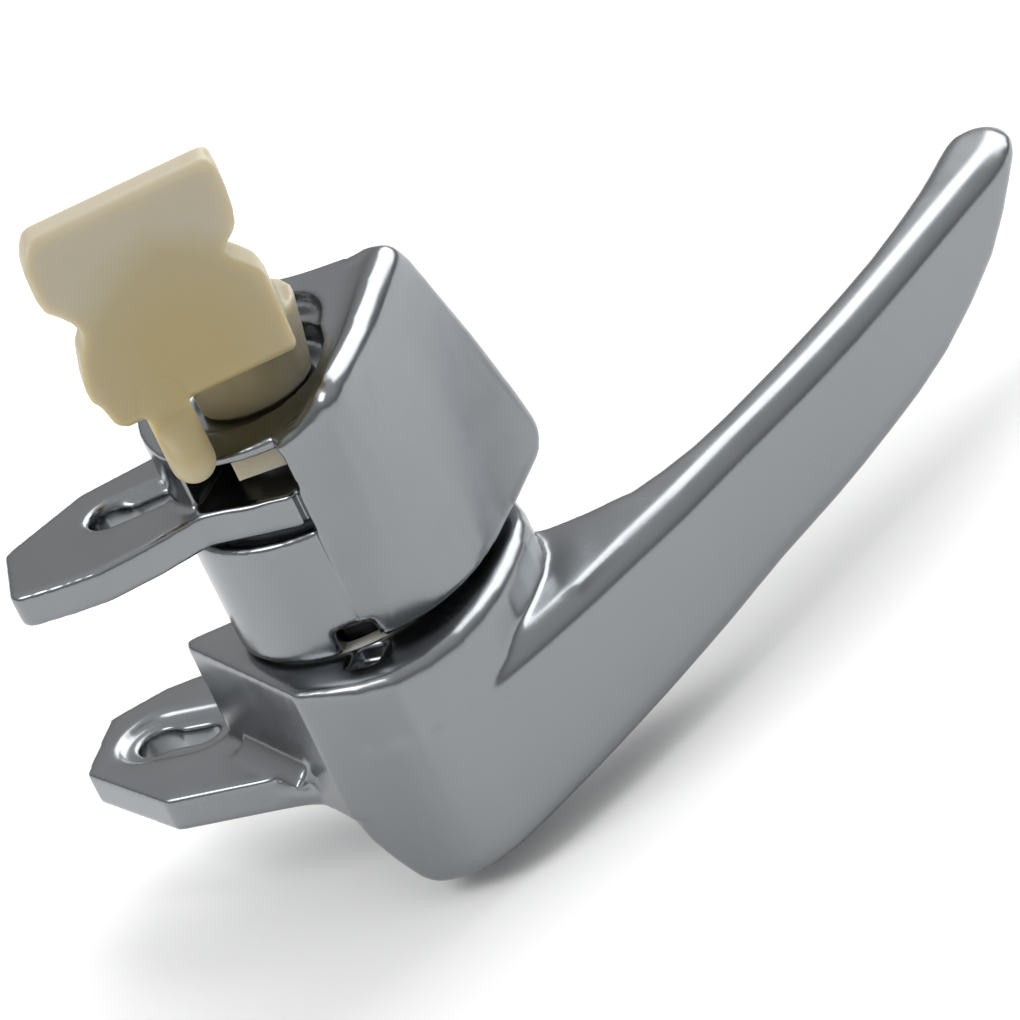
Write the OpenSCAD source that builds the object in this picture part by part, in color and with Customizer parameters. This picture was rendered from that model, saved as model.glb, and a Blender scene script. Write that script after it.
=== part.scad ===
// Interior door handle of a car: a cast pull lever that swings on an upright pivot under a
// cast housing, with a nylon lock lever on top. X points into the cabin, Y along the door,
// Z up. The origin is on the pivot axis, on the deck of the pull lever.

/* [Pivot] */
// Diameter of the pivot pin
pin_d = 8; // [7:0.5:9]
// Diameter of the pin head
pin_head_d = 10; // [9.4:0.1:10.2]
// Thickness of the pin head
pin_head_t = 1.8; // [1.4:0.1:2]
// Wall of the flanged bushes
bush_wall = 1.5; // [1:0.1:2]
// Width of the bush flanges beyond their wall
bush_flange = 1.3; // [0.8:0.1:1.5]
// Thickness of the bush flanges
flange_t = 0.8; // [0.6:0.1:1]
// Thickness of the plain washer
washer_t = 1; // [0.8:0.1:1.5]
// Height of the wave washer as fitted
wave_t = 1; // [0.8:0.1:1.4]
// Thickness of the retaining ring
ring_t = 0.9; // [0.7:0.1:1.2]
// Depth of the pin groove for the ring
groove_depth = 0.8; // [0.5:0.1:1.2]
// Pin end beyond the retaining ring
pin_tail = 1.2; // [0.8:0.1:2]

/* [Housing] */
// Diameter of the barrel
barrel_d = 26.4; // [25:0.2:27.4]
// Height of the barrel above its foot
barrel_h = 14.6; // [13:0.2:16]
// Wall of the barrel round the spring
barrel_wall = 3; // [2.5:0.1:3.2]
// Thickness of the barrel roof
roof_t = 3.5; // [2.5:0.1:4]
// Height of the slit between barrel and ear
slit_h = 1.1; // [0.8:0.1:1.5]
// Thickness of the mounting ear
ear_t = 3.9; // [3:0.1:5]
// Height of the window above the ear
window_h = 5; // [4.6:0.1:6]
// Thickness of the floor over the window
floor_t = 1.2; // [1:0.1:1.6]
// Slope of the top face towards the far end, degrees
top_slope = 11; // [8:1:14]
// Diameter of the pocket in the top
pocket_d = 17; // [16:0.5:18]
// Height of the block's ridge over the window floor, at its far end
crest_h = 5.8; // [5:0.2:7]
// Gap between the block's foot and the lever deck
block_gap = 1.1; // [0.9:0.1:1.6]
// Wall of the block behind the cabin face
block_wall = 5.5; // [4.5:0.1:6]
// Height of the pad under the ear
pad_t = 0.4; // [0.3:0.1:0.8]

/* [Pull lever] */
// Depth of the hub from its deck to the foot of the crank ear
hub_h = 16.6; // [15:0.2:18]
// Thickness of the crank ear
crank_t = 4.3; // [3.5:0.1:5]
// Drop from the deck to the top of the arm
arm_drop = 5.6; // [5:0.2:7]
// Depth of the grip below the deck, at the hub
grip_low = 26.4; // [25:0.2:28]
// Distance of the arm's tip from the pivot, along the door
arm_reach = 87; // [80:1:92]
// Swing of the lever when pulled, degrees
swing = 35; // [25:1:36]

/* [Slots] */
// Diameter of the round end of the slots
slot_head_d = 5.2; // [4.8:0.1:5.6]
// Width of the narrow part of the slots
slot_w = 3.6; // [3.2:0.1:4]
// Distance between the round end and the narrow end
slot_run = 5.5; // [4.5:0.1:6]
// Depth of the oval recess round the slots
recess_t = 0.8; // [0.5:0.1:1.2]
// Rim of the recess beyond the slot
recess_rim = 2; // [1.6:0.1:2.4]

/* [Lock lever] */
// Width of the head
head_w = 19.5; // [18:0.5:21]
// Height from the lower block's foot to the top of the head
lock_h = 23.7; // [22:0.1:26]
// Thickness of the head
head_t = 5; // [4:0.2:6]
// Thickness of the lower block
lower_t = 16; // [15:0.5:17]
// Gap between the block's ridge and the lock lever
lock_gap = 1.6; // [1:0.1:2]
// Diameter of the stem in the housing floor
stem_d = 10.4; // [10.3:0.1:11.2]
// Diameter of the boss on the housing floor
boss_d = 15.6; // [14.6:0.2:16]
// Diameter of the leg
leg_d = 4.8; // [4:0.2:5.2]
// Length of the leg
leg_h = 8; // [7:0.2:9]
// Turn of the lock lever from the handle's length, degrees
lock_turn = 28; // [20:1:32]
// Thickness of the finger piece under the floor
finger_t = 2.4; // [2:0.1:2.6]
// Width of the finger
finger_w = 5.8; // [5:0.2:6]
// Direction of the finger, degrees
finger_angle = -75.5; // [-80:0.5:-74]

/* [Return spring] */
// Wire diameter
wire_d = 1.6; // [1.2:0.1:1.8]
// Number of coils
coils = 4.5; // [3.5:0.5:4.5]

/* [Hidden] */
eps = 0.01;

// Clearances of the fits
foot_gap = 0.3;
press_clear = 0.02;
run_clear = 0.04;
free_clear = 0.3;

// Levels of the housing, upwards from the lever deck
barrel_top = foot_gap + barrel_h;
ear_z = barrel_top + slit_h;
ear_top = ear_z + ear_t;
floor_z = ear_top + window_h;
floor_top = floor_z + floor_t;
cavity_top = barrel_top - roof_t;
crest_z = floor_top + crest_h;
barrel_r = barrel_d / 2;
cavity_r = barrel_r - barrel_wall;
front_y = -(barrel_r - 0.4);

// The outlines below are drawn for a barrel of this radius and follow the real one
drawn_r = 13.2;
k = barrel_r / drawn_r;
window_left = -6 * k;
block_left = 6.3 * k;
face_x = 16.6 * k;
top_far = 14.6 * k;

// Where the handle rests on its bracket, measured from the pivot axis and the lever deck
mount_at = [-24.5 * k, -14.5 * k, ear_z - pad_t];

// Levels of the pull lever, downwards from its deck
crank_z = -hub_h;
crank_top = crank_z + crank_t;
arm_top = -arm_drop;
grip_depth = grip_low - arm_drop;
bore_r = pin_d / 2 + run_clear + bush_wall;
flange_r = bore_r + bush_flange;
bush_len = 0.38 * hub_h;
washer_z = crank_z - flange_t - wave_t;
ring_z = washer_z - washer_t - ring_t;
coil_d = cavity_r + bore_r;

// Stop pin of the housing and its groove in the lever deck
stop_r = 15 * k;
stop_pin_r = 1.2;
stop_angle = 50;
stop_depth = 3;

// Levels and places of the lock lever
lower_z = crest_z + lock_gap;
lock_front = barrel_r - 0.6;
head_shift = -4.2 * k;
leg_at = [-8.6 * k, -(barrel_r + leg_d / 2 - 2.3)];
spigot_d = stem_d - 4.4;

// Slots of the ears, seen from above
ear_angle = 204;
ear_slot_r = 19.3 * k;
crank_slot_r = 30.3 * k;
crank_slot_angle = 179.4;

// Block: outline at the foot and under the ridge, height of the ridge over the window floor
// as a share of crest_h, and radius of the ridge, all at the same stations
block_foot = [[5.9, -12.2], [8.6, -11.6], [10.2, -10.7], [11.5, -9.7], [12.6, -8.6],
    [13.5, -7.4], [14.6, -5.2], [15.6, -2.2], [16.2, 1], [16.5, 4.5], [16.6, 8.5], [16.6, 13],
    [16.5, 17.5], [16.2, 20.6], [15.2, 22], [12.4, 22.2], [5.9, 22.2]];
block_rim = [[5.9, -12.8], [9, -12.8], [11.5, -12.75], [13.4, -12.6], [14.5, -11.9],
    [15, -10.6], [15.2, -8], [15.3, -4], [15.4, 0], [15.5, 4], [15.6, 8], [15.6, 11],
    [15.3, 13], [14.2, 14.2], [12.4, 14.6], [10, 14.6], [5.9, 14.6]];
block_crest = [0.03, 0.24, 0.48, 0.69, 0.79, 0.83, 0.85, 0.86, 0.88, 0.91, 0.95, 0.98, 1, 0.98,
    0.95, 0.9, 0.79];
block_round = [1.5, 1.6, 1.8, 2.1, 2.2, 2.2, 2.2, 2.2, 2.2, 2.2, 2.2, 2.2, 2.1, 1.8, 1.5, 1.2,
    0.8];

// Hub of the lever: outline at its foot, and width of the round at its deck edge
hub_edge = [[-20.3, -2, 0.5], [-19.6, -3.4, 0.5], [-1.9, -17.95, 0.5], [2.5, -18.65, 0.9],
    [5.5, -18.85, 1.2], [9.55, -18.25, 1.5], [13.15, -15.75, 1.6], [15.75, -12.35, 1.7],
    [17.2, -8.4, 1.8], [18.1, -4, 1.8], [18.3, 0.5, 1.8], [18.1, 5, 1.8], [17.3, 9, 1.7],
    [15.9, 12, 1.5], [14, 14.6, 1], [10, 17.4, 0.5], [4, 18.2, 0.5], [-2, 17.9, 0.5],
    [-7, 14, 0.5], [-12, 6, 0.5], [-13.6, 1, 0.5]];

// Grip and arm: outer and inner side, share of the depth at the top and at the foot
grip = [[-12, -13.3, -11, -8, 0.337, 0.534], [-7, -13.9, -6.5, -8, 0.337, 0.563],
    [-3.8, -15.4, -3, -8.5, 0.28, 0.625], [-1.4, -17.7, 0, -10, 0.12, 0.74],
    [2.5, -18.7, 2.5, -11, 0, 0.96], [5.5, -18.9, 4.5, -11.5, 0, 0.99],
    [9.6, -18.3, 7, -11.5, 0, 0.98], [13.2, -15.8, 9, -10.5, 0, 0.957],
    [15.8, -12.4, 10.5, -8.5, 0, 0.94], [18.5, -8.2, 12, -4, 0, 0.917],
    [20.4, -5.1, 13, 0, 0, 0.904], [24, 1.3, 14.5, 7, 0, 0.875], [27, 7.2, 17.2, 14.6, 0, 0.851],
    [31.5, 16.1, 23.6, 19.8, 0, 0.808], [35.7, 25.9, 29.2, 26.8, 0, 0.769],
    [40.1, 35.7, 33.8, 36.6, 0, 0.745], [44.4, 46.5, 38.2, 47.6, 0, 0.71],
    [48.5, 58.9, 42.5, 60.4, 0, 0.659], [52.6, 72.1, 45.4, 73.4, 0, 0.486],
    [54.9, 79.6, 46.3, 80.6, 0, 0.25], [54.9, 84, 47.4, 85.2, 0, 0.15],
    [53, 86.8, 49.4, 87, 0.02, 0.1]];
curve_steps = 2;

// A point on a curve that passes through b and c, t runs from 0 to 1
function spline_point(a, b, c, d, t) =
    0.5 * (2 * b + (c - a) * t + (2 * a - 5 * b + 4 * c - d) * t * t
        + (3 * b - a - 3 * c + d) * t * t * t);

// The smooth curve through a list of points
function spline(p) = [
    for (i = [0 : len(p) - 2], s = [0 : curve_steps - 1])
        spline_point(p[max(i - 1, 0)], p[i], p[i + 1], p[min(i + 2, len(p) - 1)],
            s / curve_steps),
    p[len(p) - 1]];

// Faces that join rings of m points each, closed at both ends; ring n follows ring n - 1
function ring_faces(n, m) = concat(
    [[for (i = [0 : m - 1]) i]],
    [for (r = [0 : n - 2], i = [0 : m - 1], h = [0, 1])
        let (a = r * m + i, b = r * m + (i + 1) % m)
        h == 0 ? [a, a + m, b + m] : [a, b + m, b]],
    [[for (i = [m - 1 : -1 : 0]) (n - 1) * m + i]]);

// A tube of round wire along a list of points
module wire(p, r, sides) {
    n = len(p);
    tangent = [for (i = [0 : n - 1])
        let (d = p[min(i + 1, n - 1)] - p[max(i - 1, 0)]) d / norm(d)];
    points = [for (i = [0 : n - 1], k = [0 : sides - 1])
        let (
            out = norm([p[i][0], p[i][1]]) > 0 ? [p[i][0], p[i][1], 0] : [1, 0, 0],
            flat = out - (out * tangent[i]) * tangent[i],
            u = flat / norm(flat),
            v = cross(tangent[i], u),
            a = 360 * k / sides)
        p[i] + r * (cos(a) * u + sin(a) * v)];
    faces = concat(
        [[for (k = [0 : sides - 1]) k]],
        [for (i = [0 : n - 2], k = [0 : sides - 1])
            [i * sides + k, (i + 1) * sides + k,
                (i + 1) * sides + (k + 1) % sides, i * sides + (k + 1) % sides]],
        [[for (k = [sides - 1 : -1 : 0]) (n - 1) * sides + k]]);
    polyhedron(points, faces, convexity = 8);
}

// Moves a piece drawn about the pivot so that the origin lies where the handle rests
module from_mount() {
    translate(-mount_at) children();
}

// A ring or washer about the pivot axis
module ring(outer_r, inner_r, z, h) {
    translate([0, 0, z]) rotate_extrude($fn = 96)
        translate([inner_r, 0]) square([outer_r - inner_r, h]);
}

// Keyhole slot, round end outwards, cut in an ear of thickness t with its top at z
module slot_cut(angle, r, z, t, rim) {
    deep = t + 2 * eps;
    rotate([0, 0, angle]) {
        translate([r, 0, z - t - eps]) cylinder(d = slot_head_d, h = deep, $fn = 48);
        translate([r - slot_run, 0, z - t - eps]) cylinder(d = slot_w, h = deep, $fn = 48);
        translate([r - slot_run, -slot_w / 2, z - t - eps]) cube([slot_run, slot_w, deep]);
        recess_cut(r, z, rim);
    }
}

// Oval recess round a slot, in the top face of its ear
module recess_cut(r, z, rim) {
    rim_r = slot_head_d / 2 + rim;
    for (x = [r, r - slot_run])
        translate([x, 0, z - recess_t]) cylinder(r = rim_r, h = recess_t + eps, $fn = 64);
    translate([r - slot_run, -rim_r, z - recess_t])
        cube([slot_run, 2 * rim_r, recess_t + eps]);
}

// Outline of the housing's mounting ear
module ear_outline() {
    scale([k, k]) polygon([[5.2, -12.8], [-5.6, -12.8], [-10.2, -16.7], [-15, -19.8],
        [-19.1, -20.9], [-24, -21.7], [-25.2, -20.9], [-29.2, -12], [-28.7, -10.8],
        [-23.6, -2.3], [-16.5, 2.5], [-6, 8], [5.2, 8]]);
}

// Outline of the pad under the ear, on which the handle rests
module pad_outline() {
    scale([k, k]) polygon([[-14.4, -15], [-17, -18.4], [-23.4, -20], [-27.6, -11.6],
        [-22.6, -3.6], [-16.5, -0.2], [-15, -0.6], [-14.8, -6]]);
}

// Height of the sloping top face at y
function top_at(y) = floor_top + (y - front_y) * tan(top_slope);

// Side outline of everything above the ear, seen along X: Y to the right, Z up
module top_profile() {
    polygon([[-2.5 * barrel_r, ear_z], [-2.5 * barrel_r, floor_top], [front_y, floor_top],
        [top_far, top_at(top_far)], [top_far + 3, ear_z]]);
}

// Extrudes an outline drawn as Y and Z along X
module along_x(x0, x1) {
    translate([x0, 0, 0]) rotate([90, 0, 90]) linear_extrude(x1 - x0) children();
}

// Extrudes an outline drawn as X and Z along Y
module along_y(y0, y1) {
    translate([0, y1, 0]) rotate([90, 0, 0]) linear_extrude(y1 - y0) children();
}

// Curved block beside the barrel: a leaning shell with a round ridge that falls into the top
module block() {
    n = len(block_rim);
    spine = [for (p = block_rim) [min(p[0], 8.2) * k, max(-7.5, min(p[1], 9.5)) * k]];
    crest = [for (c = block_crest) floor_top + c * crest_h];
    function rim(i, d) = let (p = k * block_rim[i], q = spine[i] - p) p + q / norm(q) * d;
    function inner_z(i, d) = top_at(rim(i, d)[1]) - 0.2;
    rings = concat(
        [for (t = [0, 0.34, 0.67])
            [for (i = [0 : n - 1]) let (p = k * (block_foot[i] * (1 - t) + block_rim[i] * t),
                z = block_gap * (1 - t) + (crest[i] - block_round[i]) * t) [p[0], p[1], z]]],
        [for (a = [0, 22, 44, 66, 90]) [for (i = [0 : n - 1])
            let (r = block_round[i], p = rim(i, r * (1 - cos(a))))
            [p[0], p[1], crest[i] - r * (1 - sin(a))]]],
        [for (s = [[0.8, 0.1], [1.5, 0.4], [2.1, 0.75], [2.8, 1]]) [for (i = [0 : n - 1])
            let (r = block_round[i], d = r + s[0], p = rim(i, d))
            [p[0], p[1], crest[i] * (1 - s[1]) + min(crest[i], inner_z(i, r + 2.8)) * s[1]]]],
        [[for (i = [0 : n - 1]) let (p = rim(i, block_round[i] + 2.8))
            [p[0], p[1], floor_top - 1]]]);
    polyhedron([for (r = rings, p = r) p], ring_faces(len(rings), n), convexity = 6);
}

// Hollow behind the cabin face, open below and towards the door
module block_hollow() {
    translate([-block_left, barrel_r + 0.6, 0])
        cube([block_left + face_x - 0.8 - block_wall, 2 * barrel_r, crest_z + 10]);
}

module housing() {
    color("silver") from_mount() difference() {
        union() {
            translate([0, 0, foot_gap]) cylinder(r1 = barrel_r - 0.4, r2 = barrel_r,
                h = 0.4, $fn = 128);
            translate([0, 0, foot_gap + 0.4]) cylinder(r = barrel_r, h = barrel_h - 0.4,
                $fn = 128);
            translate([0, 0, barrel_top - eps])
                cylinder(r = barrel_r - 3.5, h = slit_h + 2 * eps, $fn = 96);
            translate([0, 0, ear_z]) linear_extrude(ear_t) ear_outline();
            translate([0, 0, ear_z - pad_t]) linear_extrude(pad_t + 1) pad_outline();
            intersection() {
                translate([0, 0, ear_z]) union() {
                    cylinder(r = barrel_r - 0.2, h = crest_z, $fn = 128);
                    translate([0, front_y + 1.3, 0])
                        cube([block_left + 4.4, top_far - front_y, crest_z]);
                }
                along_x(-barrel_r - 1, block_left + 5) top_profile();
            }
            block();
            // stop pin
            rotate([0, 0, stop_angle]) translate([stop_r, 0, 0.6 - stop_depth])
                cylinder(r = stop_pin_r, h = stop_depth + block_gap, $fn = 32);
        }
        block_hollow();
        // room for the return spring, and the notch that shows it
        translate([0, 0, -eps]) cylinder(r = cavity_r, h = cavity_top + eps, $fn = 96);
        translate([2.5 * k, -barrel_r - 1, -eps]) cube([4.5 * k, 6 * k, 2.8 + foot_gap]);
        // seat of the upper spring leg
        rotate([0, 0, 90]) translate([coil_d / 2, 0, cavity_top - eps])
            cylinder(d = wire_d + free_clear, h = roof_t - 1, $fn = 32);
        // bore of the pivot pin
        translate([0, 0, foot_gap]) cylinder(d = pin_d + 2 * press_clear, h = ear_top, $fn = 96);
        // window, pocket and the hole of the lock lever's stem
        translate([window_left, front_y - 10, ear_top])
            cube([block_left - window_left, 10 - front_y + pocket_d / 2, window_h]);
        translate([0, 0, floor_top]) cylinder(d = pocket_d, h = crest_z, $fn = 96);
        translate([0, 0, floor_z - eps])
            cylinder(d = stem_d + 2 * run_clear, h = floor_t + 2 * eps, $fn = 96);
        slot_cut(ear_angle, ear_slot_r, ear_top, ear_t + pad_t, 0.3);
    }
}

// Hub of the lever, with a round along the edge of its deck
module hub() {
    n = len(hub_edge);
    function at(i, d) = let (p = k * [hub_edge[i][0], hub_edge[i][1]]) p * (1 - d / norm(p));
    rings = concat([[for (i = [0 : n - 1]) [at(i, 0)[0], at(i, 0)[1], crank_z]]],
        [for (a = [0, 30, 60, 90]) [for (i = [0 : n - 1])
            let (r = hub_edge[i][2], p = at(i, r * (1 - cos(a))))
            [p[0], p[1], -r * (1 - sin(a))]]]);
    polyhedron([for (r = rings, p = r) p], ring_faces(len(rings), n), convexity = 4);
}

// Outline of the crank ear
module crank_outline() {
    scale([k, k]) polygon([[-37.6, -4.5], [-38.4, 6], [-32.9, 10.2], [-29, 11.6],
        [-18, 12.6], [-4, 12.6], [-4, -13.4], [-12.1, -13.2], [-24.6, -13.4]]);
}

// Web between the hub and the arm, level with the top of the arm
module root_outline() {
    scale([k, k]) polygon([[8, -2], [17, -2], [23, 2], [26, 9], [24, 19.6], [19.6, 17.2],
        [15.4, 15.6], [12, 15.6], [8, 14]]);
}

// Grip and arm: a bevelled section carried along the smooth curve of the grip
module grip_loft() {
    reach = arm_reach / 87;
    rows = [for (g = grip) [k * g[0], (g[1] > 20 ? 20 + (g[1] * reach - 20) : g[1]) * k,
        k * g[2], (g[3] > 20 ? 20 + (g[3] * reach - 20) : g[3]) * k, g[4], g[5]]];
    rings = [for (w = spline(rows))
        let (o = [w[0], w[1]], n = [w[2], w[3]] - o, wide = norm(n),
            top = arm_top - w[4] * grip_depth, low = arm_top - w[5] * grip_depth,
            h = min(1, (top - low) / 6))
        [for (c = [[2.5, top], [1.9, top - 0.12 * h], [1.3, top - 0.7 * h], [0.3, top - 1.9 * h],
            [0.02, top - 2.5 * h], [0, low + 2.2 * h], [0.5, low + 0.8 * h], [1.6, low],
            [wide - 1.8, low + 0.2 * h], [wide - 0.5, low + 1.2 * h], [wide, low + 2.6 * h],
            [wide, top - 1.6 * h], [wide - 0.4, top - 0.5 * h], [wide - 1.4, top]])
            let (d = c[0] / wide) [o[0] + n[0] * d, o[1] + n[1] * d, c[1]]]];
    polyhedron([for (r = rings, p = r) p], ring_faces(len(rings), 14), convexity = 8);
}

// Fillet where the hub's flank stands on the crank ear
module flank_fillet() {
    a = k * [-19.6, -3.4];
    b = k * [-1.9, -17.95];
    run = norm(b - a);
    translate([a[0], a[1], crank_top]) rotate([0, 0, atan2(b[1] - a[1], b[0] - a[0])])
        translate([0.16 * run, 0.5, -0.5]) rotate([90, 0, 90]) linear_extrude(0.6 * run)
            polygon([[0, 0], [0, 3.4], [-0.8, 2], [-1.6, 1.3], [-2.9, 0.5], [-2.9, 0]]);
}

module pull_lever() {
    color("silver") from_mount() difference() {
        union() {
            hub();
            translate([0, 0, crank_z + 0.03]) linear_extrude(crank_t - 0.03) crank_outline();
            translate([0, 0, crank_z + 0.2]) linear_extrude(hub_h - arm_drop - 0.24)
                root_outline();
            grip_loft();
            flank_fillet();
        }
        // bore of the bushes, and the hole of the lower spring leg
        translate([0, 0, crank_z - eps]) cylinder(r = bore_r + press_clear,
            h = hub_h + 2 * eps, $fn = 96);
        translate([coil_d / 2, 0, -4]) cylinder(d = wire_d + free_clear, h = 5, $fn = 32);
        slot_cut(crank_slot_angle, crank_slot_r, crank_top, crank_t, recess_rim);
        stop_groove();
        // notch in the deck edge, under the notch of the barrel
        translate([3.4 * k, -barrel_r - 1.6, -2.2]) cube([3.4 * k, 4 * k, 3]);
    }
}

// Groove in the deck in which the housing's stop pin runs
module stop_groove() {
    half = stop_pin_r + free_clear;
    translate([0, 0, -stop_depth]) intersection() {
        ring(stop_r + half, stop_r - half, 0, stop_depth + 1);
        linear_extrude(stop_depth + 1) polygon([[0, 0],
            for (s = [0 : 6]) 3 * barrel_r * [cos(stop_angle + s * swing / 6),
                sin(stop_angle + s * swing / 6)]]);
    }
    for (end = [[stop_angle, -90], [stop_angle + swing, 90]])
        rotate([0, 0, end[0]]) translate([stop_r, 0, -stop_depth]) rotate([0, 0, end[1]])
            cylinder(r = half - 0.06, h = stop_depth + 1, $fn = 32);
}

// Front outline of the lock lever: U along its width, Z up from the lower block's foot
module lock_outline() {
    scale([head_w / 19.5, lock_h / 23.7]) polygon([[-6.5, 0], [9.8, 0], [10.2, 0.6], [10.4, 8.6],
        [10.1, 9.8], [8.6, 11.6], [7.3, 13.1], [7.7, 14.1], [8.8, 15.2], [9.4, 16.1], [9.7, 18],
        [9.9, 21], [9.8, 23], [9.1, 23.7], [-9.2, 23.7], [-9.9, 23.3], [-10.8, 21.9],
        [-11.3, 20.6], [-11.4, 17.4], [-11.1, 15.9], [-10.2, 14.9], [-9.2, 13.4], [-8.7, 11.6],
        [-9.2, 10.4], [-10, 9.4], [-11, 6], [-11, 4.4], [-10.3, 3.4], [-9.9, 1.2], [-8.8, 0]]);
}

// Side outline of the lock lever: V from front to back, Z up
module lock_side() {
    bevel = 0.8;
    low = 0.41 * lock_h;
    polygon([[bevel, 0], [lower_t - bevel, 0], [lower_t, bevel], [lower_t, 0.5 * low],
        [lower_t - 2, 0.8 * low], [head_t + 3, low], [head_t + 1.2, low + 1.4],
        [head_t + 0.3, low + 3], [head_t, low + 5], [head_t, lock_h - bevel],
        [head_t - bevel, lock_h], [bevel, lock_h], [0, lock_h - bevel], [0, bevel]]);
}

module lock_lever() {
    color("wheat") from_mount() {
        rotate([0, 0, lock_turn]) {
            translate([head_shift, 0, lower_z]) intersection() {
                along_y(-2 * barrel_r, 2 * barrel_r) lock_outline();
                along_x(-3 * barrel_r, 3 * barrel_r) translate([-lock_front, 0]) lock_side();
            }
            // leg, rooted in the front face of the lower block
            translate([leg_at[0], leg_at[1], lower_z - leg_h + leg_d / 2]) {
                cylinder(d = leg_d, h = leg_h - 0.8, $fn = 48);
                sphere(d = leg_d, $fn = 48);
                translate([0, 0, leg_h - 0.8]) sphere(d = leg_d, $fn = 48);
            }
        }
        // stem in the housing floor, boss above it and spigot below
        translate([0, 0, floor_z]) cylinder(d = stem_d, h = lower_z - floor_z + 1, $fn = 96);
        translate([0, 0, floor_top + free_clear])
            cylinder(d = boss_d, h = lower_z - floor_top + 1, $fn = 96);
        translate([0, 0, floor_z - free_clear - finger_t])
            cylinder(d = spigot_d, h = finger_t + 1, $fn = 96);
    }
}

// Finger piece under the floor: pressed on the spigot, it holds the lock lever down
module lock_finger() {
    color("wheat") from_mount() translate([0, 0, floor_z - free_clear - finger_t])
        linear_extrude(finger_t) difference() {
            union() {
                circle(r = stem_d / 2 + 0.6, $fn = 96);
                rotate([0, 0, finger_angle]) translate([0, -finger_w / 2])
                    square([barrel_r - 2, finger_w]);
            }
            circle(d = spigot_d + 2 * press_clear, $fn = 96);
        }
}

module pivot_pin() {
    low = ring_z - pin_tail;
    groove_h = ring_t + 0.1;
    color("dimgray") from_mount() difference() {
        union() {
            translate([0, 0, low + 0.5]) cylinder(d = pin_d, h = ear_top - low, $fn = 96);
            translate([0, 0, low]) cylinder(d1 = pin_d - 1, d2 = pin_d, h = 0.5 + eps, $fn = 96);
            translate([0, 0, ear_top]) cylinder(d = pin_head_d, h = pin_head_t - 0.4, $fn = 96);
            translate([0, 0, ear_top + pin_head_t - 0.4 - eps])
                cylinder(d1 = pin_head_d, d2 = pin_head_d - 1.6, h = 0.4 + eps, $fn = 96);
        }
        ring(pin_d, pin_d / 2 - groove_depth, ring_z - 0.05, groove_h);
    }
}

module return_spring() {
    r = coil_d / 2;
    low = flange_t + wire_d / 2 + 0.4;
    high = cavity_top - wire_d / 2 - 0.3;
    sides = 8;
    turns_deg = 360 * (floor(coils) + 0.25);
    steps = floor(turns_deg / 15);
    color("dimgray") from_mount() wire(concat(
        [[r, 0, -3.2], [r, 0, low - 1.4]],
        [for (i = [0 : steps]) let (a = turns_deg * i / steps)
            [r * cos(a), r * sin(a), low + (high - low) * i / steps]],
        [[r * cos(turns_deg), r * sin(turns_deg), high + 1.2],
            [r * cos(turns_deg), r * sin(turns_deg), cavity_top + 1.6]]), wire_d / 2, sides);
}

module spacer_sleeve() {
    color("lightgray") from_mount() ring(bore_r, pin_d / 2 + run_clear, flange_t, cavity_top - flange_t);
}

// Flanged bush in the lever bore, flange at z, barrel running towards s
module bush(z, s) {
    inner = pin_d / 2 + run_clear;
    ring(bore_r, inner, s > 0 ? z : z - bush_len, bush_len);
    ring(flange_r, inner, s > 0 ? z - flange_t : z, flange_t);
}

module deck_bush() {
    color("ivory") from_mount() bush(0, -1);
}

module lower_bush() {
    color("ivory") from_mount() bush(crank_z, 1);
}

module thrust_washer() {
    color("ivory") from_mount()
        ring(barrel_r - 1.2, cavity_r + 0.3, 0, foot_gap);
}

// Spring washer with three waves, as squeezed between the lower bush and the plain washer
module wave_washer() {
    waves = 3;
    steps = 36;
    leaf_t = 0.4;
    inner = pin_d / 2 + 0.2;
    outer = flange_r;
    rise = (wave_t - leaf_t) / 2;
    mid = crank_z - flange_t - wave_t / 2;
    points = [for (i = [0 : steps - 1]) let (a = 360 * i / steps, h = rise * sin(waves * a))
        for (c = [[inner, -1], [outer, -1], [outer, 1], [inner, 1]])
            [c[0] * cos(a), c[0] * sin(a), mid + h + c[1] * leaf_t / 2]];
    faces = [for (i = [0 : steps - 1], k = [0 : 3]) let (j = (i + 1) % steps)
        [i * 4 + k, i * 4 + (k + 1) % 4, j * 4 + (k + 1) % 4, j * 4 + k]];
    color("gray") from_mount() polyhedron(points, faces, convexity = 4);
}

module plain_washer() {
    color("lightgray") from_mount()
        ring(flange_r + 0.8, pin_d / 2 + 0.15, washer_z - washer_t, washer_t);
}

// Retaining ring: open on one side, with three lands in the pin's groove
module retaining_ring() {
    core_r = pin_d / 2 - groove_depth + 0.05;
    color("gray") from_mount() difference() {
        ring(pin_d / 2 + 2.2, core_r, ring_z, ring_t);
        translate([0, -core_r, ring_z - eps]) cube([pin_d, 2 * core_r, ring_t + 2 * eps]);
        for (a = [125, 235])
            rotate([0, 0, a]) translate([core_r + 0.7, 0, ring_z - eps])
                cylinder(r = 0.9, h = ring_t + 2 * eps, $fn = 24);
    }
}

housing();
pull_lever();
lock_lever();
lock_finger();
pivot_pin();
return_spring();
spacer_sleeve();
deck_bush();
lower_bush();
thrust_washer();
wave_washer();
plain_washer();
retaining_ring();
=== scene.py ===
"""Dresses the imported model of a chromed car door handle: cast and plated pieces, a nylon
lock lever, the steel of the pivot, and the studio that it stands in."""

import math

import bmesh
import bpy
from mathutils import Matrix, Vector


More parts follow.
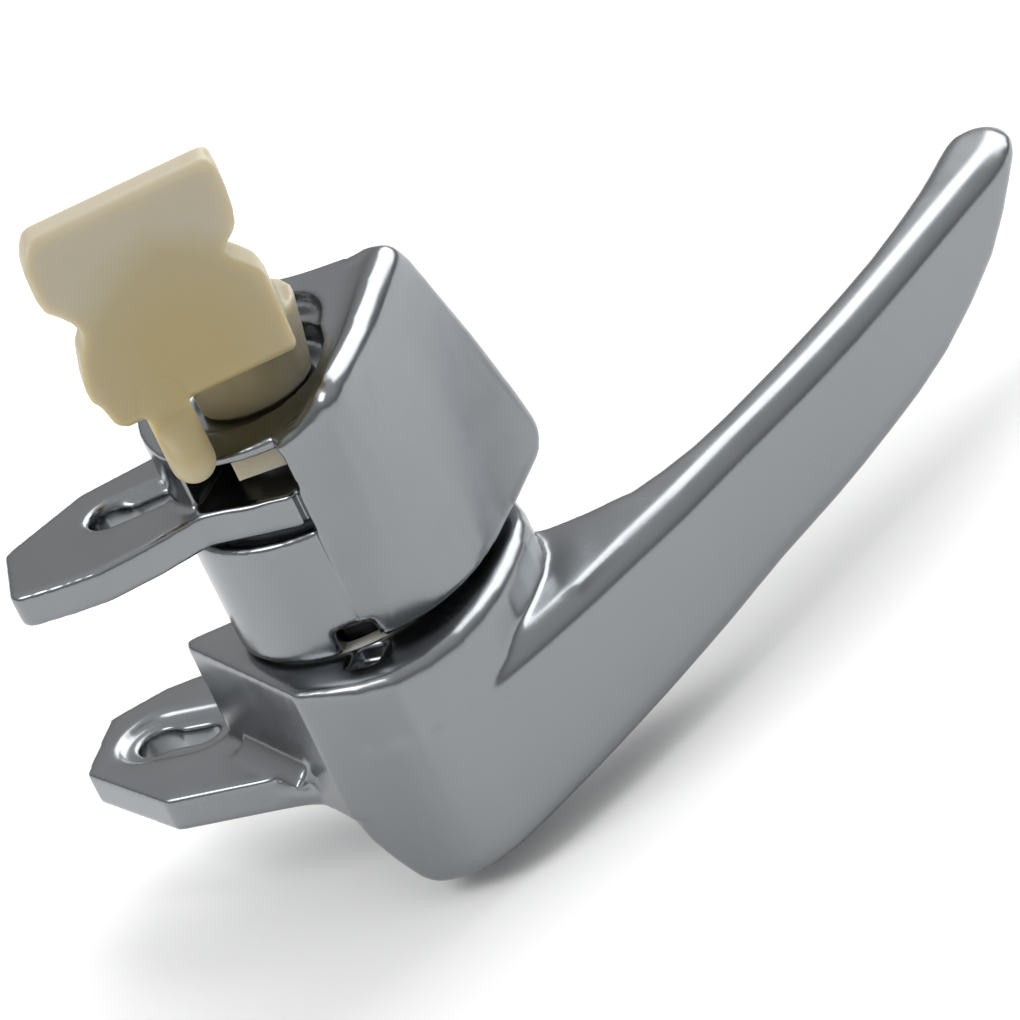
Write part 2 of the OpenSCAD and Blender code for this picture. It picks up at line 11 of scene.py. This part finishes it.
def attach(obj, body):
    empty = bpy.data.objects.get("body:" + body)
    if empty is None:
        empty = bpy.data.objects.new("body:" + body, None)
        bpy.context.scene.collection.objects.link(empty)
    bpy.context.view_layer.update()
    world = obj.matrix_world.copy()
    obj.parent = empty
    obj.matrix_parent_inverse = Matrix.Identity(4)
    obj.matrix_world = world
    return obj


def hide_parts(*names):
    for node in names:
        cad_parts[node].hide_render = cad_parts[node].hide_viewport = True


bl_info = {
    "name": "Door Handle Dressing",
    "version": (1, 0, 0),
    "blender": (4, 5, 0),
    "location": "View3D > Sidebar > Handle",
    "description": "Builds the visible castings, nylon parts and studio of a door handle",
    "category": "Object",
}

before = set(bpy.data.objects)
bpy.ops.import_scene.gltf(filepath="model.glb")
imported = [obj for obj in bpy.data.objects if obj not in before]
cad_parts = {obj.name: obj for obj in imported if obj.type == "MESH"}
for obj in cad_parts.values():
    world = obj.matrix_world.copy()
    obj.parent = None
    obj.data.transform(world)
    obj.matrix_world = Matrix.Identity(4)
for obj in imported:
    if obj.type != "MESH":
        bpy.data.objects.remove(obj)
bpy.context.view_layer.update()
MM = 0.001
# Point on the pivot axis that the camera and the lamps are placed round
PIVOT = Vector((24.5, 14.5, -14)) * MM
# Point on the pivot axis at the lever's deck, from which the forms are measured
DECK = Vector((24.5, 14.5, -15.6)) * MM
# The lock lever's turn about the pivot, and the depth of its front face in mm
LOCK_TURN = math.radians(28)
LOCK_FRONT = -12.6
# Radius of the lock lever's boss in the model and on the moulding, in mm
BOSS_MODEL, BOSS_MOULDING = 7.8, 6.3
# Top of the housing's floor above the deck, and of the ledge at the pocket's far end, in mm
FLOOR_TOP, LEDGE_TOP = 26.1, 28.9
# Where the sloping top leaves the floor, along the door in mm, and its rise for each mm
TOP_START, TOP_RISE = -12.8, 0.1944
# The lever is a larger piece with a coarser skin, and hands rub its plating
LEVER_CELL, LEVER_HAZE = 1.1, 0.04


# Colours and materials

def linear(text):
    """A colour written as #rrggbb, turned from sRGB to linear."""
    parts = [int(text[i:i + 2], 16) / 255 for i in (1, 3, 5)]
    lin = [c / 12.92 if c <= 0.04045 else ((c + 0.055) / 1.055) ** 2.4 for c in parts]
    return (*lin, 1.0)


def add_node(tree, kind, settings=None, inputs=None, links=None):
    """Adds one node with its settings, its input values and the links into it."""
    node = tree.nodes.new(kind)
    for key, value in (settings or {}).items():
        setattr(node, key, value)
    for key, value in (inputs or {}).items():
        node.inputs[key].default_value = value
    for key, source in (links or {}).items():
        tree.links.new(source, node.inputs[key])
    return node


def new_material(name):
    """An empty node material, its tree and its Principled shader."""
    material = bpy.data.materials.new(name)
    material.use_nodes = True
    tree = material.node_tree
    shader = tree.nodes["Principled BSDF"]
    return material, tree, shader


def ramp(tree, source, stops):
    """A colour ramp through (position, colour) stops."""
    node = add_node(tree, "ShaderNodeValToRGB", links={"Fac": source})
    elements = node.color_ramp.elements
    while len(elements) < len(stops):
        elements.new(0.5)
    for element, (place, colour) in zip(elements, stops):
        element.position = place
        element.color = colour
    return node


def grain(tree, size_mm, detail=2.0):
    """Noise with grains of a real size, on object coordinates."""
    coords = add_node(tree, "ShaderNodeTexCoord")
    return add_node(tree, "ShaderNodeTexNoise", inputs={"Scale": 1 / (size_mm * MM),
                    "Detail": detail}, links={"Vector": coords.outputs["Object"]})


def grey(value):
    """A neutral colour of a linear value."""
    return (value, value, value, 1.0)


def chrome_plate(name, tint, haze):
    """Bright chromium over polished zinc die casting: a mirror with a faint ripple left by
    the buffing wheel, hazier where hands have rubbed it."""
    material, tree, shader = new_material(name)
    shader.inputs["Base Color"].default_value = linear(tint)
    shader.inputs["Metallic"].default_value = 1.0
    wear = grain(tree, 6.0, 3.0)
    spread = ramp(tree, wear.outputs["Fac"], [(0.35, grey(haze)), (0.7, grey(haze + 0.05))])
    tree.links.new(spread.outputs["Color"], shader.inputs["Roughness"])
    ripple = grain(tree, 9.0, 1.0)
    bump = add_node(tree, "ShaderNodeBump", inputs={"Strength": 0.05, "Distance": 0.4 * MM},
                    links={"Height": ripple.outputs["Fac"]})
    tree.links.new(bump.outputs["Normal"], shader.inputs["Normal"])
    return material


def natural_nylon():
    """Uncoloured moulded nylon: milky where it is thin, yellower in the thick lower block."""
    material, tree, shader = new_material("natural_nylon_moulded")
    coords = add_node(tree, "ShaderNodeTexCoord")
    place = add_node(tree, "ShaderNodeMapping", {"vector_type": "TEXTURE"},
                     links={"Vector": coords.outputs["Object"]})
    place.inputs["Location"].default_value = (0.0236, 0.0072, 0.0225)
    place.inputs["Rotation"].default_value = (0, 0, LOCK_TURN)
    place.inputs["Scale"].default_value = (0.0135, 0.04, 0.0155)
    depth = add_node(tree, "ShaderNodeTexGradient", {"gradient_type": "SPHERICAL"},
                     links={"Vector": place.outputs["Vector"]})
    mottling = grain(tree, 7.0, 2.0)
    uneven = add_node(tree, "ShaderNodeMath", {"operation": "MULTIPLY_ADD"},
                      {1: 0.25}, {0: mottling.outputs["Fac"], 2: depth.outputs["Fac"]})
    tone = ramp(tree, uneven.outputs["Value"],
                [(0.16, linear("#b4ac97")), (0.42, linear("#a99d7a")),
                 (0.8, linear("#a8996c"))])
    tree.links.new(tone.outputs["Color"], shader.inputs["Base Color"])
    shader.inputs["Roughness"].default_value = 0.42
    shader.inputs["IOR"].default_value = 1.53
    shader.inputs["Subsurface Weight"].default_value = 0.8
    shader.inputs["Subsurface Radius"].default_value = (1.0, 0.8, 0.45)
    shader.inputs["Subsurface Scale"].default_value = 4 * MM
    skin = grain(tree, 0.5, 2.0)
    bump = add_node(tree, "ShaderNodeBump", inputs={"Strength": 0.08, "Distance": 0.1 * MM},
                    links={"Height": skin.outputs["Fac"]})
    tree.links.new(bump.outputs["Normal"], shader.inputs["Normal"])
    return material


def turned_steel(name, tint, rough):
    """Steel from the lathe, dulled: a fine grain breaks up the light."""
    material, tree, shader = new_material(name)
    shader.inputs["Base Color"].default_value = linear(tint)
    shader.inputs["Metallic"].default_value = 1.0
    marks = grain(tree, 0.4, 3.0)
    spread = ramp(tree, marks.outputs["Fac"], [(0.3, grey(rough)), (0.7, grey(rough + 0.12))])
    tree.links.new(spread.outputs["Color"], shader.inputs["Roughness"])
    bump = add_node(tree, "ShaderNodeBump", inputs={"Strength": 0.15, "Distance": 0.05 * MM},
                    links={"Height": marks.outputs["Fac"]})
    tree.links.new(bump.outputs["Normal"], shader.inputs["Normal"])
    return material


def white_nylon():
    """White moulded nylon of the bushes: satin, slightly uneven."""
    material, tree, shader = new_material("white_nylon_bush")
    cloud = grain(tree, 3.0, 2.0)
    tone = ramp(tree, cloud.outputs["Fac"],
                [(0.3, linear("#dcdad0")), (0.7, linear("#e8e6de"))])
    tree.links.new(tone.outputs["Color"], shader.inputs["Base Color"])
    shader.inputs["Roughness"].default_value = 0.4
    return material


def give(obj, material):
    """Sets one material on a piece or a CAD node."""
    obj.data.materials.clear()
    obj.data.materials.append(material)


# Mesh helpers

def finish_piece(obj, body, slot_name, material, *nodes):
    """Material, body and replaced CAD nodes of one finished piece; the slot name is not used.
    """
    give(obj, material)
    for face in obj.data.polygons:
        face.use_smooth = True
    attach(obj, body)
    if nodes:
        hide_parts(*nodes)


def applied(obj):
    """Replaces a piece's mesh by what its modifiers make of it."""
    graph = bpy.context.evaluated_depsgraph_get()
    mesh = bpy.data.meshes.new_from_object(obj.evaluated_get(graph))
    obj.modifiers.clear()
    obj.data = mesh


def loft(bm, rings):
    """A closed skin over rings of points, given in mm from the pivot axis and the deck."""
    rows = [[bm.verts.new(DECK + Vector(p) * MM) for p in ring] for ring in rings]
    count = len(rows[0])
    faces = [bm.faces.new(rows[0]), bm.faces.new(rows[-1])]
    for low, high in zip(rows, rows[1:]):
        for i in range(count):
            j = (i + 1) % count
            faces.append(bm.faces.new((low[i], low[j], high[j], high[i])))
    bmesh.ops.recalc_face_normals(bm, faces=faces)


def linked(name, bm):
    """A new object in the scene from a bmesh."""
    mesh = bpy.data.meshes.new(name)
    bm.to_mesh(mesh)
    bm.free()
    obj = bpy.data.objects.new(name, mesh)
    bpy.context.scene.collection.objects.link(obj)
    return obj


def welded_copy(name, node, *lofts):
    """A copy of a CAD node's mesh with its loose triangles joined up, and lofts added."""
    bm = bmesh.new()
    bm.from_mesh(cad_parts[node].data)
    bmesh.ops.remove_doubles(bm, verts=bm.verts, dist=0.001 * MM)
    for rings in lofts:
        loft(bm, rings)
    return linked(name, bm)


def carve(obj, rings):
    """Cuts a loft out of a piece."""
    bm = bmesh.new()
    loft(bm, rings)
    tool = linked("cutter", bm)
    cut = obj.modifiers.new("cut", "BOOLEAN")
    cut.operation = "DIFFERENCE"
    cut.object = tool
    applied(obj)
    bpy.data.objects.remove(tool)


def step(low, high, value):
    """0 below low, 1 above high and a smooth rise between them."""
    t = min(1.0, max(0.0, (value - low) / (high - low)))
    return t * t * (3 - 2 * t)


def reshape(obj, move):
    """Moves every vertex by a function of its place in mm from the axis and the deck."""
    for vertex in obj.data.vertices:
        vertex.co = DECK + Vector(move(*((vertex.co - DECK) / MM))) * MM


def cast_skin(obj, voxel, passes):
    """Remeshes a sharp solid and relaxes it, so that its edges and corners get the fillets
    that a casting or a moulding has."""
    remesh = obj.modifiers.new("skin", "REMESH")
    remesh.mode = "VOXEL"
    remesh.voxel_size = voxel
    relax = obj.modifiers.new("relax", "SMOOTH")
    relax.factor = 0.5
    relax.iterations = passes
    applied(obj)


def soften(obj, weight, passes):
    """Relaxes a piece further where a weight of the place in mm says so."""
    group = obj.vertex_groups.new(name="soft")
    for vertex in obj.data.vertices:
        share = weight(*((vertex.co - DECK) / MM))
        if share > 0:
            group.add([vertex.index], share, "REPLACE")
    relax = obj.modifiers.new("soften", "SMOOTH")
    relax.vertex_group = group.name
    relax.factor = 0.5
    relax.iterations = passes
    applied(obj)
    obj.vertex_groups.clear()


# Forms of the castings and the moulding

def upright(outline, z0, z1):
    """Two rings of one outline, for a straight loft."""
    return [[(x, y, z0) for x, y in outline], [(x, y, z1) for x, y in outline]]


def face_x(y, z):
    """The cabin face of the block: flat at the far side, gently rounded towards the front."""
    foot = 16.6 - 0.0071 * max(0, 8.5 - y) ** 2
    away = max(0, 8 - y)
    rim = 15.6 - 0.006 * away ** 2 / (1 + away / 8)
    return foot + (rim - foot) * (z - 1.1) / 28.4


FAR_EDGE = ((1.15, 19.6), (1.6, 21.6), (2.6, 22.8), (4.2, 22.9), (8, 21.9), (12, 20.7),
            (16, 19.4), (20, 18.0), (24, 16.4), (27, 15.2), (28.8, 14.5))


def far_corner():
    """Square far corner of the block: the cabin face runs flat to a narrow far edge."""
    rings = []
    for z, y in FAR_EDGE:
        face = face_x(9.2, z) + 0.02
        rings.append([(10.4, 9.2, z), (face, 9.2, z), (face, y - 0.9, z),
                      (face - 0.9, y, z), (10.4, y, z)])
    for z, y, inset in ((29.9, 14.2, 0.35), (30.8, 13.5, 1)):
        rings.append([(10.4, 9.2, z), (15.55 - inset, 9.2, z), (15.55 - inset, y - 0.9, z),
                      (14.65 - inset, y, z), (10.4, y, z)])
    return rings


def true_face(x, y, z):
    """Brings the skin of the cabin face onto one smooth surface."""
    face = face_x(y, z)
    if abs(x - face) < 0.4 and 1.6 < z < 28.6 and y > -3:
        far = 22.9 - max(0, z - 4.2) * 0.333
        share = (step(-3, 1, y) * (1 - step(far - 2.4, far - 1.3, y)) * step(1.6, 2.6, z)
                 * (1 - step(27.2, 28.6, z)))
        x += (face - x) * share
    return x, y, z


def front_strip(x, y, z):
    """Turns the front strip of the cabin face back behind a soft crease."""
    past = (z - 5) * 0.104 - 14.1 - y
    if past > 0 and x > 7:
        x -= 0.1 * past * step(7, 10, x) * step(1.6, 4, z)
    return x, y, z


def near_ridge(x, y, z):
    """1 along the ridge between the cabin face and the top, 0 away from it."""
    return step(11, 13, x) * step(26, 28.5, z) * step(-14, -10, y)


def high_corner(x, y, z):
    """Lifts the far end of the ridge into the highest point of the block."""
    return x, y, z + 0.85 * step(1, 13, x) * step(-2, 11, y) * step(25, 30, z)


def trough():
    """Broad hollow between the ridge of the block and its top."""
    rings = []
    for y, crest in ((-9, 30.6), (-6, 31.05), (-2, 31.1), (2, 31.15), (6, 31.35), (9, 31.6),
                     (11.5, 31.7)):
        top = FLOOR_TOP + (y - TOP_START) * TOP_RISE
        rise = crest - top
        section = ((8.7, -0.8), (8.7, 0), (10, 0.12), (11.2, 0.36), (12.1, 0.64), (12.9, 0.93),
                   (13.2, 0.9), (13.2, -0.8))
        rings.append([(x, y, top + (rise * s if s > 0 else s)) for x, s in section])
    return rings


def pocket_outline():
    """Rounded far end of the pocket in the top, a shallow ledge."""
    return [(0.8 + 6.6 * math.cos(a), 4.8 + 6.6 * math.sin(a))
            for a in (math.tau * i / 40 for i in range(40))]


def slim_boss(x, y, z):
    """Boss between the lower block and the floor of the pocket, drawn in to its moulding."""
    reach = math.hypot(x, y)
    on_boss = 7.5 < reach < 8.1 and 25.9 < z < 33.7
    share = BOSS_MOULDING / BOSS_MODEL if on_boss else 1
    return x * share, y * share, z


def lock_form(x, y, z):
    """Leg that runs into the front of the lower block, and shoulders that fall backwards.
    Sideways and depth are measured on the lock lever, which stands turned."""
    cos, sin = math.cos(LOCK_TURN), math.sin(LOCK_TURN)
    side = x * cos + y * sin
    depth = y * cos - x * sin
    if depth < LOCK_FRONT:
        depth = LOCK_FRONT + (depth - LOCK_FRONT) * (1 - 0.97 * step(28.5, 33.5, z))
    z -= 3.2 * step(-8, -2, depth) * step(36, 42, z) + 0.7 * step(44, 50, z)
    side += 0.7 * step(-3, 3, side) * step(42, 53, z)
    return side * cos - depth * sin, side * sin + depth * cos, z


# Properties

class CastingSettings(bpy.types.PropertyGroup):
    """Sizes and colours of the castings and the moulding."""
    voxel: bpy.props.FloatProperty(
        name="Skin cell", description="Size of the cells of the cast skin",
        default=0.3 * MM, unit="LENGTH", subtype="DISTANCE")
    cast_passes: bpy.props.IntProperty(
        name="Cast fillets", description="Relaxing passes that round the cast edges",
        default=16, min=1, max=40)
    mould_passes: bpy.props.IntProperty(
        name="Moulded fillets", description="Relaxing passes that round the nylon edges",
        default=10, min=1, max=40)
    chrome_tint: bpy.props.StringProperty(
        name="Chrome colour", description="Colour of the chrome plate as #rrggbb",
        default="#898c8f")
    haze: bpy.props.FloatProperty(
        name="Haze", description="Roughness of the chrome where it is cleanest",
        default=0.19, min=0.0, max=0.5)


class StudioSettings(bpy.types.PropertyGroup):
    """Camera, floor height and floor colour of the studio."""
    azimuth: bpy.props.FloatProperty(
        name="Azimuth", description="Camera angle round the handle, 0 looks along the door",
        default=math.radians(27.7), subtype="ANGLE", unit="ROTATION")
    elevation: bpy.props.FloatProperty(
        name="Elevation", description="Camera angle above the horizon",
        default=math.radians(26), subtype="ANGLE", unit="ROTATION")
    roll: bpy.props.FloatProperty(
        name="Roll", description="Turn of the picture about the line of sight",
        default=math.radians(25.15), subtype="ANGLE", unit="ROTATION")
    distance: bpy.props.FloatProperty(
        name="Distance", description="Distance from the camera to the pivot",
        default=600 * MM, unit="LENGTH", subtype="DISTANCE")
    px_per_mm: bpy.props.FloatProperty(
        name="Scale", description="Picture pixels for one millimetre at the pivot",
        default=9.524)
    floor_drop: bpy.props.FloatProperty(
        name="Floor", description="Height of the floor below the mounting pad",
        default=44 * MM, unit="LENGTH", subtype="DISTANCE")
    backdrop: bpy.props.StringProperty(
        name="Floor colour", description="Colour of the floor as #rrggbb", default="#f8f8f8")


# Pieces

class HANDLE_OT_housing(bpy.types.Operator):
    """Cast and plated housing with its ear, window and curved block"""
    bl_idname = "handle.housing"
    bl_label = "Housing"

    def execute(self, context):
        s = context.scene.handle_casting
        obj = welded_copy("housing_casting", "housing", far_corner(), trough())
        carve(obj, upright(pocket_outline(), LEDGE_TOP, 40))
        cast_skin(obj, s.voxel, s.cast_passes)
        soften(obj, near_ridge, 2 * s.cast_passes)
        for form in (true_face, front_strip, high_corner):
            reshape(obj, form)
        finish_piece(obj, "housing", "chrome_casting",
                     chrome_plate("chrome_plate_housing", s.chrome_tint, s.haze), "housing")
        return {"FINISHED"}


class HANDLE_OT_lever(bpy.types.Operator):
    """Cast and plated pull lever with its grip and crank ear"""
    bl_idname = "handle.lever"
    bl_label = "Pull lever"

    def execute(self, context):
        s = context.scene.handle_casting
        obj = welded_copy("pull_lever_casting", "pull_lever")
        cast_skin(obj, LEVER_CELL * s.voxel, s.cast_passes)
        finish_piece(obj, "pull_lever", "chrome_lever",
                     chrome_plate("chrome_plate_lever", s.chrome_tint, s.haze + LEVER_HAZE),
                     "pull_lever")
        return {"FINISHED"}


class HANDLE_OT_lock(bpy.types.Operator):
    """Moulded nylon lock lever"""
    bl_idname = "handle.lock"
    bl_label = "Lock lever"

    def execute(self, context):
        s = context.scene.handle_casting
        nylon = natural_nylon()
        obj = welded_copy("lock_lever_moulding", "lock_lever")
        reshape(obj, slim_boss)
        cast_skin(obj, s.voxel, s.mould_passes)
        reshape(obj, lock_form)
        finish_piece(obj, "lock_lever", "natural_nylon", nylon, "lock_lever")
        give(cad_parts["lock_finger"], nylon)
        return {"FINISHED"}


class HANDLE_OT_pivot(bpy.types.Operator):
    """Finishes of the pin, spring, sleeve, bushes, washers and retaining ring"""
    bl_idname = "handle.pivot"
    bl_label = "Pivot parts"

    def execute(self, context):
        dull = turned_steel("turned_steel_pin", "#8a8b8d", 0.3)
        black = turned_steel("blackened_spring_steel", "#4a4442", 0.35)
        zinc = turned_steel("bright_zinc_plate", "#b9bbbd", 0.25)
        nylon = white_nylon()
        finishes = {"pivot_pin": dull, "return_spring": black, "wave_washer": black,
                    "retaining_ring": black, "spacer_sleeve": zinc, "plain_washer": zinc,
                    "deck_bush": nylon, "lower_bush": nylon, "thrust_washer": nylon}
        for node, material in finishes.items():
            give(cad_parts[node], material)
        return {"FINISHED"}


# Studio

def look_axes(s):
    """Right, up and back of the camera in the row frame."""
    a, e, roll = s.azimuth, s.elevation, s.roll
    back = Vector((math.sin(a) * math.cos(e), -math.cos(a) * math.cos(e), math.sin(e)))
    right = Vector((math.cos(a), math.sin(a), 0))
    up = back.cross(right)
    return (right * math.cos(roll) - up * math.sin(roll),
            right * math.sin(roll) + up * math.cos(roll), back)


def place_camera(s):
    """The photograph's view: the pivot falls on its pixel in a 1020 pixel picture."""
    frame_px, pivot_px = 1020, (351, 581)
    right, up, back = look_axes(s)
    off_x = (frame_px / 2 - pivot_px[0]) / s.px_per_mm * MM
    off_y = (pivot_px[1] - frame_px / 2) / s.px_per_mm * MM
    camera = bpy.data.objects.new("photo_camera", bpy.data.cameras.new("photo_camera"))
    camera.data.sensor_fit = "HORIZONTAL"
    width = frame_px / s.px_per_mm * MM
    camera.data.lens = camera.data.sensor_width * s.distance / width
    turn = Matrix((right, up, back)).transposed().to_4x4()
    camera.matrix_world = Matrix.Translation(PIVOT + right * off_x + up * off_y
                                             + back * s.distance) @ turn
    bpy.context.scene.collection.objects.link(camera)
    bpy.context.scene.camera = camera


def floor_material(colour):
    """Near-white matt paper."""
    material, tree, shader = new_material("matt_paper_floor")
    shader.inputs["Base Color"].default_value = linear(colour)
    shader.inputs["Roughness"].default_value = 0.9
    return material


def softbox(name, place, size, watts):
    """A large soft lamp that faces the handle."""
    light = bpy.data.lights.new(name, "AREA")
    light.shape = "RECTANGLE"
    light.size, light.size_y = size
    light.energy = watts
    obj = bpy.data.objects.new(name, light)
    obj.location = PIVOT + Vector(place)
    obj.rotation_euler = (-Vector(place)).to_track_quat("-Z", "Y").to_euler()
    bpy.context.scene.collection.objects.link(obj)


def studio_world():
    """A dim studio round the white floor: grey at the horizon, paler overhead."""
    world = bpy.data.worlds.new("soft_studio")
    bpy.context.scene.world = world
    world.use_nodes = True
    tree = world.node_tree
    shader = tree.nodes["Background"]
    coords = add_node(tree, "ShaderNodeTexCoord")
    split = add_node(tree, "ShaderNodeSeparateXYZ",
                     links={"Vector": coords.outputs["Generated"]})
    sky = ramp(tree, split.outputs["Z"],
               [(0.0, grey(0.25)), (0.25, grey(0.4)), (0.6, grey(0.68)), (1.0, grey(0.8))])
    tree.links.new(sky.outputs["Color"], shader.inputs["Color"])
    shader.inputs["Strength"].default_value = 1.0


class HANDLE_OT_studio(bpy.types.Operator):
    """Floor, soft lamps and the photograph's camera"""
    bl_idname = "handle.studio"
    bl_label = "Studio"

    def execute(self, context):
        s = context.scene.handle_studio
        place_camera(s)
        bm = bmesh.new()
        bmesh.ops.create_grid(bm, x_segments=1, y_segments=1, size=3.0,
                              matrix=Matrix.Translation((0, 0, -s.floor_drop)))
        mesh = bpy.data.meshes.new("studio_floor")
        bm.to_mesh(mesh)
        bm.free()
        floor = bpy.data.objects.new("studio_floor", mesh)
        context.scene.collection.objects.link(floor)
        give(floor, floor_material(s.backdrop))
        softbox("key_softbox", (-0.5, -0.7, 0.9), (0.6, 0.6), 6)
        softbox("rim_softbox", (0.2, 0.9, 0.7), (1.1, 0.9), 11)
        studio_world()
        context.scene.view_settings.view_transform = "Standard"
        return {"FINISHED"}


class HANDLE_PT_panel(bpy.types.Panel):
    """Sidebar list of the handle's pieces"""
    bl_label = "Door handle"
    bl_idname = "HANDLE_PT_panel"
    bl_space_type = "VIEW_3D"
    bl_region_type = "UI"
    bl_category = "Handle"

    def draw(self, context):
        for operator in OPERATORS:
            self.layout.operator(operator.bl_idname)
        for prop in ("voxel", "cast_passes", "mould_passes", "chrome_tint", "haze"):
            self.layout.prop(context.scene.handle_casting, prop)
        for prop in ("azimuth", "elevation", "roll", "distance", "backdrop"):
            self.layout.prop(context.scene.handle_studio, prop)


OPERATORS = (HANDLE_OT_studio, HANDLE_OT_housing, HANDLE_OT_lever, HANDLE_OT_lock,
             HANDLE_OT_pivot)
CLASSES = (CastingSettings, StudioSettings, *OPERATORS, HANDLE_PT_panel)


def register():
    for cls in CLASSES:
        bpy.utils.register_class(cls)
    bpy.types.Scene.handle_casting = bpy.props.PointerProperty(type=CastingSettings)
    bpy.types.Scene.handle_studio = bpy.props.PointerProperty(type=StudioSettings)


def unregister():
    del bpy.types.Scene.handle_studio
    del bpy.types.Scene.handle_casting
    for cls in reversed(CLASSES):
        bpy.utils.unregister_class(cls)


def main():
    register()
    for operator in OPERATORS:
        group, name = operator.bl_idname.split(".")
        getattr(getattr(bpy.ops, group), name)()


if __name__ == "__main__":
    main()
